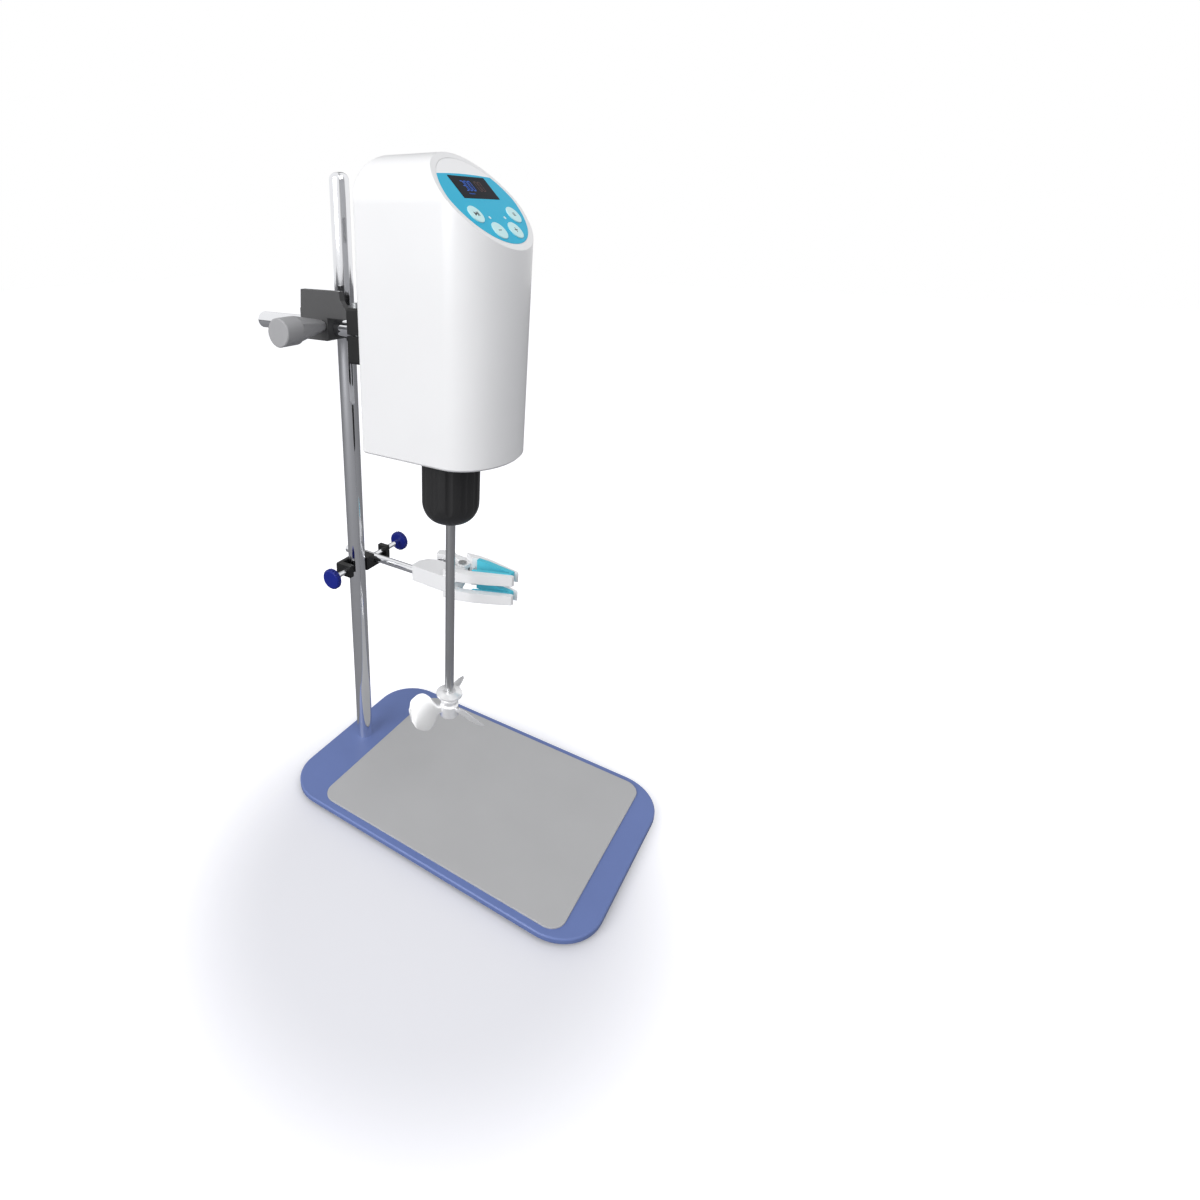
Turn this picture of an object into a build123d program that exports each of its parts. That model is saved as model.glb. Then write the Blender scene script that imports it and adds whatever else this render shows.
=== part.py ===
from build123d import *
import os
from math import acos, atan2, cos, hypot, pi, radians, sin, tan

# Overhead stirrer on a plate stand.  Millimetres.  The origin is on the bench under the
# centre of the base plate, +Z is up and the panel faces -Y.

# ---- Fits ----------------------------------------------------------------------------------------
slide_fit = 0.10        # radial clearance of a piece that slides or turns in another
hole_fit = 0.05         # radial clearance of a screw, pin or seat in its hole
part_gap = 0.5          # air between pieces that move past each other
tip_gap = 0.3           # air between a clamp screw's tip and the rod that it presses
over = 1.0              # how far a cutter passes the face that it cuts through

# ---- Stand ---------------------------------------------------------------------------------------
base_length = 320.0
base_width = 200.0
plate_thickness = 5.0
plate_corner = 40.0
plate_edge = 1.0
mat_length = 252.0
mat_width = 186.0
mat_thickness = 1.5
mat_corner = 14.0
mat_front_margin = 23.0
mat_edge = 0.5
foot_height = 5.0
foot_radius = 11.0
foot_inset = 27.0
foot_screw_radius = 1.75
foot_screw_head = 3.5
foot_head_height = 2.0
foot_screw_bite = 3.0
support_rod_radius = 8.0
support_rod_length = 555.0
rod_setback = 22.0
rod_end_round = 6.0
rod_bolt_radius = 4.0
rod_bolt_head = 7.5
rod_bolt_bite = 16.0
rod_bolt_spare = 3.0

# ---- Arm and boss head ---------------------------------------------------------------------------
arm_radius = 7.0
arm_length = 151.5
arm_height = 447.0
arm_end_round = 3.0
rod_arm_web = 5.0
boss_wall = 8.0
boss_arm_wall = 6.0
boss_front = 31.0
boss_back = 20.0
boss_above = 15.0
boss_below = 10.0
arm_block_front = 10.0
rod_block_front = 16.0
rod_block_side = 4.0
cheek_height = 15.0
cheek_foot = 6.5
cheek_front_inset = 6.0
cheek_front_drop = 7.0
cheek_back_inset = 2.0
cheek_thickness = 5.0
boss_round = 1.2
knob_radius = 11.2
knob_length = 17.5
knob_taper_length = 31.0
knob_neck = 4.6
knob_facets = 6
knob_edge = 0.8
knob_rise = 2.0
arm_knob_forward = 4.0
clamp_screw_radius = 4.0

# ---- Motor head ----------------------------------------------------------------------------------
reach = 123.0
housing_width = 93.0
housing_height = 211.5
housing_below_arm = 86.0
shaft_to_back = 52.5
shaft_to_front = 56.0
front_round = 34.0
crown_rise = 33.0
back_top_round = 5.0
back_corner = 2.5
bottom_round = 1.5
shell_wall = 3.0
panel_angle = 45.0
panel_drop = 62.0
rim_width = 4.0
overlay_thickness = 0.8
overlay_proud = 0.1
display_width = 46.0
display_height = 20.0
display_drop = 32.4
display_corner = 1.0
display_proud = 0.2
display_depth = 7.4
button_radius = 7.1
button_proud = 0.9
button_travel = 0.8
button_flange = 1.2
button_flange_height = 1.2
button_stem = 2.0
outer_button_across = 25.0
outer_button_drop = 56.6
inner_button_across = 10.8
inner_button_drop = 70.6
lamp_radius = 1.2
lamp_across = 10.0
lamp_drop = 59.1
lamp_proud = 0.2
board_depth = 12.0
board_thickness = 1.6
board_width = 62.0
board_height = 54.0
board_corner = 4.5
board_drop = 48.6
board_post_radius = 3.0
board_screw_bite = 5.0
switch_side = 6.0
switch_height = 3.6
switch_plunger = 1.6
vent_count = 6
vent_width = 3.0
vent_height = 22.0
vent_pitch = 8.0
vent_drop = 51.5

# ---- Rear clamp that joins the arm to the housing ------------------------------------------------
bracket_width = 60.0
bracket_depth = 24.5
bracket_above = 20.5
bracket_below = 22.0
bracket_split = 1.0
bracket_edge = 1.5
pinch_screw_radius = 2.0
pinch_screw_head = 3.2
pinch_head_height = 3.5
pinch_across = 25.0
pinch_inset = 6.0
pinch_bite = 15.0
hex_key = 2.0
pinch_key = 1.5
hex_depth = 2.0
small_screw_radius = 1.5
small_screw_head = 2.8
small_head_height = 1.6
machine_screw_radius = 2.0
machine_screw_head = 3.5
machine_head_height = 2.5
backing_thickness = 2.0
backing_margin = 4.0
fixing_bite = 6.0
fixing_across = 14.0
fixing_above = 13.0

# ---- Gear frame, motor and spindle ---------------------------------------------------------------
gear_module = 1.0
gear_teeth = 40
pinion_teeth = 14
gear_width = 8.0
gear_hub_radius = 10.0
gear_hub_height = 3.0
gear_window_radius = 2.2
gear_window_count = 6
pinion_overhang = 0.5
pressure_angle = radians(20)
backlash = 0.12
frame_plate = 5.0
frame_gap = 0.3
frame_space = 31.0
post_radius = 5.0
back_post_across = 31.0
front_post_across = 24.8
post_back = 22.0
post_front = 26.0
deck_thickness = 5.0
deck_gap = 2.0
deck_screw_bite = 8.0
shell_post_radius = 4.5
shell_post_height = 16.0
shell_post_across = 39.5
shell_post_back = 43.0
shell_post_front = 8.0
shell_screw_bite = 9.0
bearing_outer = 16.0
bearing_inner = 7.5
bearing_width = 9.0
bearing_race = 2.4
bearing_shield_depth = 0.6
bearing_lip = 2.0
lip_clearance = 1.5
spindle_bore = 4.0
spindle_collar = 9.5
spindle_nose = 14.0
spindle_top = 2.5
ring_radius = 8.8
ring_width = 1.0
ring_groove = 0.6
ring_slot = 4.0
motor_radius = 17.5
motor_length = 56.0
motor_wall = 1.8
motor_edge = 1.5
rotor_radius = 14.5
rotor_length = 40.0
motor_shaft_radius = 2.5
motor_hub_radius = 6.0
motor_screw_across = 12.0

# ---- Chuck, shaft and impeller -------------------------------------------------------------------
chuck_radius = 14.0
chuck_length = 56.0
chuck_nose_radius = 10.0
chuck_nose_length = 16.0
sleeve_radius = 23.5
sleeve_straight = 42.0
sleeve_nose = 18.0
sleeve_mouth = 9.5
sleeve_cavity = 19.8
sleeve_cavity_low = 18.0
sleeve_cavity_high = 45.0
sleeve_flutes = 12
sleeve_flute_radius = 6.0
sleeve_flute_depth = 0.9
sleeve_flute_stop = 5.0
sleeve_top_edge = 1.0
jaw_count = 3
jaw_radius = 3.2
jaw_length = 30.0
jaw_tilt = 15.0
jaw_foot_radius = 5.6
jaw_grip_gap = 0.1
jaw_foot_lift = 1.0
stirring_radius = 4.0
stirring_length = 257.5
stirring_end_round = 0.8
impeller_height = 104.5
hub_radius = 8.5
hub_length = 26.0
hub_flare = 12.0
hub_flare_height = 3.0
hub_waist = 7.0
hub_barrel = 12.0
hub_edge = 1.0
hub_step = 1.5
hub_neck = 2.0
hub_ring = 1.5
blade_count = 3
blade_tip = 38.0
blade_thickness = 1.8
blade_pitch_root = 60.0
blade_pitch_tip = 50.0
blade_height = 9.0
blade_width = 33.0
blade_neck_width = 9.0
first_blade = 24.5
blade_plan = [(0.16, 0.3, 1.6), (0.35, 0.8, 1.2), (0.6, 1.0, 1.0), (0.85, 0.8, 0.8), (1.0, 0.35, 0.5)]
grub_radius = 2.0
grub_height = 17.7

# ---- Power inlet and switch ----------------------------------------------------------------------
socket_across = 20.0
socket_rise = 32.0
inlet_width = 27.0
inlet_height = 20.0
inlet_depth = 22.0
inlet_wall = 1.8
inlet_bezel = 2.0
inlet_bezel_rim = 2.5
inlet_socket_depth = 16.0
inlet_chamfer = 4.0
inlet_pin_width = 4.0
inlet_pin_height = 2.0
inlet_pin_length = 13.0
inlet_pin_pitch = 7.0
inlet_pin_rise = 3.0
switch_across = 22.0
switch_width = 15.0
switch_tall = 21.0
switch_depth = 18.0
rocker_wall = 1.5
rocker_tilt = 10.0
rocker_thickness = 7.0
rocker_foot = 6.8
rocker_crest = 8.0
rocker_dip = 1.2
rocker_pin_radius = 1.2

# ---- Beaker clamp --------------------------------------------------------------------------------
clamp_height = 215.0
clamp_arm_radius = 4.0
clamp_arm_length = 98.0
clamp_arm_back = 33.0
clamp_web = 11.0
cross_half = 6.0
cross_wall = 4.0
hook_wall = 5.0
rod_hook_room = 3.5
arm_hook_room = 12.0
hook_drop = 5.5
cross_round = 2.15
cross_screw_radius = 2.5
rod_screw_spare = 16.0
arm_screw_spare = 20.5
disc_radius = 10.0
disc_width = 6.0
disc_edge = 1.5
disc_flutes = 20
disc_flute_radius = 0.8
grip_half = 14.5
grip_slot = 5.0
body_half = 8.0
socket_radius = 6.0
socket_length = 12.0
socket_overlap = 9.0
near_pad_thickness = 2.5
far_pad_thickness = 4.7
pad_proud = 0.7
pad_edge = 0.6
jaw_swing_radius = 5.5
lug_clear = 1.5
palm_round = 1.5
fork_root = 50.0
head_across = 90.0
spread_reach = 41.5
jaw_pin_radius = 2.0
jaw_pin_head = 4.0
jaw_pin_head_height = 1.5
lug_thickness = 4.0
spread_screw_radius = 2.0
spread_ahead = 10.0
spread_slot = 12.0
spread_knob_radius = 5.5
spread_knob_width = 6.0
spread_socket = 6.0

# ---- Places worked out from the sizes ------------------------------------------------------------
plate_top = foot_height + plate_thickness
mat_y = -base_length / 2 + mat_front_margin + mat_length / 2
rod_y = base_length / 2 - rod_setback
rod_top = plate_top + support_rod_length
head_x = -(support_rod_radius + rod_arm_web + arm_radius)
shaft_y = rod_y - reach
back_y = shaft_y + shaft_to_back
front_y = shaft_y - shaft_to_front
housing_low = arm_height - housing_below_arm
housing_top = housing_low + housing_height
housing_half = housing_width / 2
gear_distance = gear_module * (gear_teeth + pinion_teeth) / 2
motor_y = shaft_y - gear_distance
FROM_BASE = (Align.CENTER, Align.CENTER, Align.MIN)


# ---- Helpers -------------------------------------------------------------------------------------
def bar(start, end, radius):
    """A round bar from one point to another."""
    along = Vector(*end) - Vector(*start)
    return Plane(origin=start, z_dir=along) * Cylinder(radius, along.length, align=FROM_BASE)


def post(x, y, low, high, radius):
    """An upright round bar."""
    return bar((x, y, low), (x, y, high), radius)


def block(x_range, y_range, z_range):
    """A box between three pairs of coordinates."""
    size = [high - low for low, high in (x_range, y_range, z_range)]
    centre = [(high + low) / 2 for low, high in (x_range, y_range, z_range)]
    return Pos(*centre) * Box(*size)


def prism(points, low, high):
    """An upright prism on a polygon of (x, y) points."""
    return Pos(0, 0, low) * extrude(make_face(Polyline(*points, close=True)), high - low)


def side_prism(points, x_low, x_high):
    """A prism along X on a polygon of (y, z) points."""
    face = make_face(Polyline(*points, close=True))
    return Plane(origin=(x_low, 0, 0), x_dir=(0, 1, 0), z_dir=(1, 0, 0)) * extrude(face, x_high - x_low)


def turned(points):
    """A solid turned about Z from (radius, height) points."""
    return revolve(Plane.XZ * make_face(Polyline(*points, close=True)), Axis.Z)


def socket_screw(place, radius, length, head_radius, head_height, key=0.0):
    """A screw whose shank points along -Z of its place and whose head seats on the origin."""
    screw = Cylinder(head_radius, head_height, align=FROM_BASE)
    screw += Pos(0, 0, -length) * Cylinder(radius, length + head_height / 2, align=FROM_BASE)
    if key > 0:
        recess = extrude(RegularPolygon(key, 6), hex_depth)
        screw -= Pos(0, 0, head_height - hex_depth) * recess
    return place * screw


def facing(point, direction):
    """A place at a point whose +Z looks along a direction."""
    return Plane(origin=point, z_dir=direction)


def fluted(radius, width, edge, flutes, flute_radius):
    """A round grip on Z with flutes round its rim."""
    grip = Cylinder(radius, width, align=FROM_BASE)
    grip = chamfer(grip.edges().filter_by(GeomType.CIRCLE), edge)
    cutter = Cylinder(flute_radius, width, align=FROM_BASE)
    return grip - [Rot(0, 0, 360 * i / flutes) * Pos(radius, 0, 0) * cutter for i in range(flutes)]


def gear(teeth, width, turn, bore):
    """A spur gear with involute flanks; a tooth's centre lies at angle turn, in degrees."""
    pitch = gear_module * teeth / 2
    base = pitch * cos(pressure_angle)
    tip = pitch + gear_module
    root = pitch - 1.25 * gear_module
    flank = tan(pressure_angle) - pressure_angle

    def half_angle(radius):
        spread = (pi * gear_module / 2 - backlash) / (2 * pitch)
        if radius <= base:
            return spread + flank
        lean = acos(base / radius)
        return spread + flank - tan(lean) + lean

    radii = [root, max(base, root), (max(base, root) + pitch) / 2, pitch, (pitch + tip) / 2, tip]
    outline = []
    for i in range(teeth):
        middle = radians(turn) + 2 * pi * i / teeth
        outline += [(r * cos(middle - half_angle(r)), r * sin(middle - half_angle(r))) for r in radii]
        outline += [(r * cos(middle + half_angle(r)), r * sin(middle + half_angle(r))) for r in radii[::-1]]
    spaced = [outline[0]]
    for point in outline[1:]:
        if hypot(point[0] - spaced[-1][0], point[1] - spaced[-1][1]) > 0.01:
            spaced.append(point)
    return prism(spaced, 0, width) - Cylinder(bore, 3 * width)


parts = {}

# ---- Base plate: sheet steel, feet screwed on from below, rod bolted on from below ---------------
feet_at = [(sx * (base_width / 2 - foot_inset), sy * (base_length / 2 - foot_inset))
           for sx in (-1, 1) for sy in (-1, 1)]
plate = Pos(0, 0, foot_height) * extrude(RectangleRounded(base_width, base_length, plate_corner), plate_thickness)
plate = chamfer(plate.edges().group_by(Axis.Z)[-1], plate_edge)
bolt_cone = rod_bolt_head - rod_bolt_radius
plate -= post(0, rod_y, foot_height, plate_top, rod_bolt_radius + hole_fit)
plate -= Pos(0, rod_y, foot_height) * Cone(rod_bolt_head + hole_fit, rod_bolt_radius + hole_fit, bolt_cone,
                                           align=FROM_BASE)
for x, y in feet_at:
    plate -= post(x, y, foot_height, foot_height + foot_screw_bite + part_gap, foot_screw_radius + hole_fit)
parts["base_plate"] = plate

mat = extrude(RectangleRounded(mat_width, mat_length, mat_corner), mat_thickness)
mat = fillet(mat.edges().group_by(Axis.Z)[-1], mat_edge)
parts["base_mat"] = Pos(0, mat_y, plate_top) * mat

foot = Cylinder(foot_radius, foot_height, align=FROM_BASE)
foot = fillet(foot.edges().group_by(Axis.Z)[0], mat_edge)
foot -= Cylinder(foot_screw_head + hole_fit, foot_head_height + part_gap, align=FROM_BASE)
foot -= Cylinder(foot_screw_radius + hole_fit, 2 * foot_height, align=FROM_BASE)
parts["base_feet"] = Part() + [Pos(x, y, 0) * foot for x, y in feet_at]
foot_screw_length = foot_height - part_gap - foot_head_height + foot_screw_bite
parts["foot_screws"] = Part() + [
    socket_screw(facing((x, y, foot_head_height + part_gap), (0, 0, -1)), foot_screw_radius, foot_screw_length,
                 foot_screw_head, foot_head_height) for x, y in feet_at]

rod = post(0, rod_y, plate_top, rod_top, support_rod_radius)
rod = fillet(rod.edges().group_by(Axis.Z)[-1], rod_end_round)
rod -= post(0, rod_y, plate_top, plate_top + rod_bolt_bite + rod_bolt_spare, rod_bolt_radius + hole_fit)
parts["support_rod"] = rod
bolt = Cone(rod_bolt_head, rod_bolt_radius, bolt_cone, align=FROM_BASE)
bolt += Pos(0, 0, bolt_cone) * Cylinder(rod_bolt_radius, plate_thickness - bolt_cone + rod_bolt_bite, align=FROM_BASE)
bolt -= extrude(RegularPolygon(hex_key, 6), hex_depth)
parts["rod_bolt"] = Pos(0, rod_y, foot_height) * bolt

# ---- Boss head: one block that crosses the arm with the support rod ------------------------------
boss_x = (head_x - arm_radius - boss_arm_wall, support_rod_radius + boss_wall)
boss_y = (rod_y - boss_front, rod_y + boss_back)
boss_z = (arm_height - boss_below, arm_height + boss_above)
cheek_x = (boss_x[0], boss_x[0] + cheek_thickness)
cheek_top = boss_z[1] + cheek_height
cheek_low = boss_z[1] - cheek_foot
cheek_front = boss_y[0] + cheek_front_inset
knob_z = arm_height + knob_rise
boss = block((-support_rod_radius - rod_block_side, boss_x[1]), (rod_y - rod_block_front, boss_y[1]), boss_z)
boss += block((boss_x[0], 0), (rod_y - arm_block_front, boss_y[1]), boss_z)
boss += side_prism([(boss_y[0], cheek_low), (boss_y[1], cheek_low), (boss_y[1] - cheek_back_inset, cheek_top),
                    (cheek_front + boss_round, cheek_top), (cheek_front, cheek_top - cheek_front_drop),
                    (boss_y[0], boss_z[1])], *cheek_x)
boss = chamfer(boss.edges().filter_by(Axis.X).group_by(Axis.Z)[0], boss_round)
boss -= post(0, rod_y, boss_z[0] - over, cheek_top + over, support_rod_radius + slide_fit)
boss -= bar((head_x, boss_y[0] - over, arm_height), (head_x, boss_y[1] + over, arm_height), arm_radius + slide_fit)
arm_knob_y = rod_y - arm_knob_forward
boss -= bar((boss_x[0] - over, arm_knob_y, knob_z), (head_x, arm_knob_y, knob_z), clamp_screw_radius + slide_fit)
boss -= bar((0, rod_y, knob_z), (boss_x[1] + over, rod_y, knob_z), clamp_screw_radius + slide_fit)
parts["head_boss"] = boss


def clamp_knob(seat_x, tip_x, knob_y):
    """A clamp screw turned in one piece: round grip, faceted neck and shank, on an X axis of the boss."""
    away = -1 if seat_x < tip_x else 1
    place = facing((seat_x + away * part_gap, knob_y, knob_z), (away, 0, 0))
    neck = loft([RegularPolygon(knob_neck, knob_facets),
                 Pos(0, 0, knob_taper_length) * RegularPolygon(knob_radius, knob_facets)])
    neck &= Cylinder(knob_radius, knob_taper_length, align=FROM_BASE)
    grip = Cylinder(knob_radius, knob_length, align=FROM_BASE)
    grip = Pos(0, 0, knob_taper_length) * chamfer(grip.edges().group_by(Axis.Z)[-1], knob_edge)
    shank = bar((tip_x + away * tip_gap, knob_y, knob_z),
                (seat_x + away * (part_gap + knob_taper_length), knob_y, knob_z), clamp_screw_radius)
    return place * (neck + grip) + shank


parts["arm_knob"] = clamp_knob(boss_x[0], head_x - arm_radius, arm_knob_y)
parts["rod_knob"] = clamp_knob(boss_x[1], support_rod_radius, rod_y)

# ---- Arm and rear clamp --------------------------------------------------------------------------
arm = bar((head_x, back_y, arm_height), (head_x, back_y + arm_length, arm_height), arm_radius)
parts["arm_rod"] = fillet(arm.edges().group_by(Axis.Y)[-1], arm_end_round)

bracket_x = (head_x - bracket_width / 2, head_x + bracket_width / 2)
bracket_y = (back_y, back_y + bracket_depth)
split_low = arm_height - bracket_split / 2
split_high = arm_height + bracket_split / 2
pinch_y = bracket_y[1] - pinch_inset
pinch_at = [head_x - pinch_across, head_x + pinch_across]
bracket_top = arm_height + bracket_above
arm_bore = bar((head_x, bracket_y[0] - over, arm_height), (head_x, bracket_y[1] + over, arm_height),
               arm_radius + hole_fit)
fixing_at = [(head_x + sx * fixing_across, arm_height + sz * fixing_above) for sx in (-1, 1) for sz in (-1, 1)]
upper = chamfer(block(bracket_x, bracket_y, (split_high, bracket_top)).edges().filter_by(Axis.Y).group_by(Axis.Z)[-1],
                bracket_edge)
lower = chamfer(block(bracket_x, bracket_y, (arm_height - bracket_below, split_low)).edges().filter_by(Axis.Y)
                .group_by(Axis.Z)[0], bracket_edge)
fixing_holes = [bar((x, bracket_y[0] - over, z), (x, bracket_y[0] + fixing_bite + part_gap, z),
                    machine_screw_radius + hole_fit) for x, z in fixing_at]
pinch_holes = [post(x, pinch_y, bracket_top - bracket_above - pinch_bite, bracket_top + over,
                    pinch_screw_radius + hole_fit) for x in pinch_at]
parts["bracket_upper"] = upper - arm_bore - fixing_holes - pinch_holes
parts["bracket_lower"] = lower - arm_bore - fixing_holes - pinch_holes
parts["pinch_screws"] = Part() + [
    socket_screw(facing((x, pinch_y, bracket_top), (0, 0, 1)), pinch_screw_radius,
                 bracket_above + pinch_bite - part_gap, pinch_screw_head, pinch_head_height, pinch_key)
    for x in pinch_at]


# ---- Housing: a moulded shell, rounded in front, with a slanted panel ----------------------------
slope = radians(panel_angle)


def housing_form(inset, low, face_inset):
    """The housing's outer form from height low up, drawn in by inset, and by face_inset at the panel."""
    half = housing_half - inset
    middle_y = front_y + front_round
    back = back_y - inset
    top = housing_top - inset
    corner = max(back_corner - inset, 1.0)
    crown = max(back_top_round - inset, 1.0)
    spring = housing_top - crown_rise
    outline = Line((head_x - half, middle_y), (head_x - half, back - corner))
    outline += JernArc((head_x - half, back - corner), (0, 1), corner, -90)
    outline += Line((head_x - half + corner, back), (head_x + half - corner, back))
    outline += JernArc((head_x + half - corner, back), (1, 0), corner, -90)
    outline += Line((head_x + half, back - corner), (head_x + half, middle_y))
    outline += Pos(head_x, middle_y) * EllipticalCenterArc((0, 0), half, front_round - inset, 180, arc_size=180)
    form = Pos(0, 0, low) * extrude(make_face(outline), top - low)
    arch = Polyline((half, spring), (half, low - over), (-half, low - over), (-half, spring))
    arch += Pos(0, spring) * EllipticalCenterArc((0, 0), half, top - spring, 0, arc_size=180)
    depth = shaft_to_front + 2 * shaft_to_back
    form &= Plane((head_x, back + over, 0), (1, 0, 0), (0, -1, 0)) * extrude(make_face(arch), depth)
    lip_y = front_y + panel_drop / tan(slope) + face_inset / sin(slope) - inset / tan(slope)
    reach_down = top - low + over
    side = Line((lip_y, top), (back - crown, top))
    side += JernArc((back - crown, top), (1, 0), crown, -90)
    side += Polyline((back, top - crown), (back, low - over), (lip_y - reach_down / tan(slope), low - over),
                     (lip_y, top))
    cut = Plane(origin=(head_x - housing_width, 0, 0), x_dir=(0, 1, 0), z_dir=(1, 0, 0)) * \
        extrude(make_face(side), 2 * housing_width)
    return form & cut


panel_normal = Vector(0, -sin(slope), cos(slope))
panel = Plane(origin=(head_x, front_y + panel_drop / tan(slope), housing_top), x_dir=(1, 0, 0), z_dir=panel_normal)


def on_panel(across, drop, depth=0.0):
    """A place on the panel: across from its middle, down the slope, and in below its face."""
    return panel * Pos(across, -drop, -depth)


def sheet(top, thickness, inset):
    """A sheet parallel to the panel, its top that deep below the face, inside the housing's outline."""
    slab = on_panel(0, 0, top + thickness / 2) * Box(2 * housing_width, 4 * housing_width, thickness)
    return slab & housing_form(inset, housing_low, -2 * overlay_thickness)


buttons_at = {"button_run": (-outer_button_across, outer_button_drop),
              "button_down": (-inner_button_across, inner_button_drop),
              "button_up": (inner_button_across, inner_button_drop),
              "button_set": (outer_button_across, outer_button_drop)}
lamps_at = [(-lamp_across, lamp_drop), (lamp_across, lamp_drop)]
board_holes_at = [(sx * (board_width / 2 - board_corner), board_drop + sy * (board_height / 2 - board_corner))
                  for sx in (-1, 1) for sy in (-1, 1)]
frame_top = housing_low + frame_plate
shell = housing_form(0, housing_low, 0)
shell = chamfer(shell.edges().group_by(Axis.Z)[0], bottom_round)
shell -= housing_form(shell_wall, housing_low - over, shell_wall)
shell -= sheet(-over, over + overlay_thickness, rim_width)

# Openings in the shell: display, buttons, lamps, vents, rear sockets and the rear clamp's screws.
wall_through = 4 * shell_wall
display_at = on_panel(0, display_drop, -shell_wall)
display_hole = display_at * Pos(0, 0, -wall_through) * extrude(
    Rectangle(display_width + 2 * hole_fit, display_height + 2 * hole_fit), 2 * wall_through)
lamp_holes = [on_panel(x, d, wall_through) * Cylinder(lamp_radius + hole_fit, 3 * wall_through) for x, d in lamps_at]
button_holes = [on_panel(x, d, wall_through) * Cylinder(button_radius + slide_fit, 3 * wall_through)
                for x, d in buttons_at.values()]
shell -= [display_hole] + lamp_holes + button_holes

inlet_at = (head_x - socket_across, housing_low + socket_rise)
switch_at = (head_x + switch_across, housing_low + socket_rise)


def rear_box(centre, width, height, outer, inner):
    """A box at the back wall, from outer to inner, both measured inwards from its outside face."""
    x, z = centre
    return block((x - width / 2, x + width / 2), (back_y - inner, back_y - outer), (z - height / 2, z + height / 2))


shell -= rear_box(inlet_at, inlet_width + 2 * hole_fit, inlet_height + 2 * hole_fit, -over, wall_through)
shell -= rear_box(switch_at, switch_width + 2 * hole_fit, switch_tall + 2 * hole_fit, -over, wall_through)
shell -= [bar((x, back_y + over, z), (x, back_y - wall_through, z), machine_screw_radius + hole_fit)
          for x, z in fixing_at]
vent = extrude(SlotOverall(vent_height, vent_width), wall_through)
vent_row = [head_x + (i - (vent_count - 1) / 2) * vent_pitch for i in range(vent_count)]
shell -= [Plane((x, back_y + over, housing_top - vent_drop), (0, 0, 1), (0, -1, 0)) * vent for x in vent_row]

# Screw posts inside the shell: four for the gear frame and four for the control board.
inner_form = housing_form(shell_wall / 2, housing_low, shell_wall / 2)
shell_posts_at = [(head_x + sx * shell_post_across, y) for sx in (-1, 1)
                  for y in (shaft_y + shell_post_back, shaft_y - shell_post_front)]
frame_seat = frame_top + frame_gap
for x, y in shell_posts_at:
    shell += post(x, y, frame_seat, frame_seat + shell_post_height, shell_post_radius) & inner_form
for x, y in shell_posts_at:
    shell -= post(x, y, frame_seat - over, frame_seat + shell_screw_bite + part_gap, small_screw_radius + hole_fit)
board_post_length = board_depth - shell_wall + over
for across, drop in board_holes_at:
    shell += on_panel(across, drop, board_depth) * Cylinder(board_post_radius, board_post_length, align=FROM_BASE)
for across, drop in board_holes_at:
    shell -= on_panel(across, drop, board_depth) * Cylinder(small_screw_radius + hole_fit, board_screw_bite + part_gap,
                                                          align=FROM_BASE)
parts["housing_shell"] = shell

# ---- Control panel: overlay sheet, display, lamps, buttons and the board behind them -------------
overlay = sheet(-overlay_proud, overlay_thickness + overlay_proud, rim_width + hole_fit)
overlay -= [display_hole] + lamp_holes + button_holes
parts["panel_overlay"] = overlay

glass = extrude(RectangleRounded(display_width, display_height, display_corner), display_depth)
parts["display"] = on_panel(0, display_drop, display_depth - display_proud) * glass
lamp_length = board_depth + lamp_proud
parts["panel_lamps"] = Part() + [on_panel(x, d, board_depth) * Cylinder(lamp_radius, lamp_length, align=FROM_BASE)
                                 for x, d in lamps_at]

flange_top = shell_wall + button_travel / 4
switch_face = board_depth - switch_height - switch_plunger
for name, (across, drop) in buttons_at.items():
    cap_length = flange_top + button_proud
    cap = Cylinder(button_radius, cap_length, align=FROM_BASE)
    cap = fillet(cap.edges().group_by(Axis.Z)[-1], button_proud / 2)
    cap += Pos(0, 0, -button_flange_height) * Cylinder(button_radius + button_flange, button_flange_height,
                                                       align=FROM_BASE)
    stem_length = switch_face - flange_top - button_flange_height - button_travel - tip_gap
    cap += Pos(0, 0, -button_flange_height - stem_length) * Cylinder(button_stem, stem_length, align=FROM_BASE)
    parts[name] = on_panel(across, drop, flange_top) * cap

board = Pos(0, 0, -board_thickness) * extrude(Rectangle(board_width, board_height), board_thickness)
board = on_panel(0, board_drop, board_depth) * board
board_screws = []
for across, drop in board_holes_at:
    place = on_panel(across, drop, board_depth + board_thickness) * Rot(180, 0, 0)
    board -= place * Pos(0, 0, -2 * board_thickness) * Cylinder(small_screw_radius + hole_fit, 4 * board_thickness,
                                                               align=FROM_BASE)
    board_screws.append(socket_screw(place, small_screw_radius, board_thickness + board_screw_bite,
                                     small_screw_head, small_head_height))
parts["control_board"] = board
tactile = Box(switch_side, switch_side, switch_height, align=FROM_BASE)
tactile += Cylinder(button_stem, switch_height + switch_plunger, align=FROM_BASE)
parts["button_switches"] = Part() + [on_panel(x, d, board_depth) * tactile for x, d in buttons_at.values()]

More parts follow.
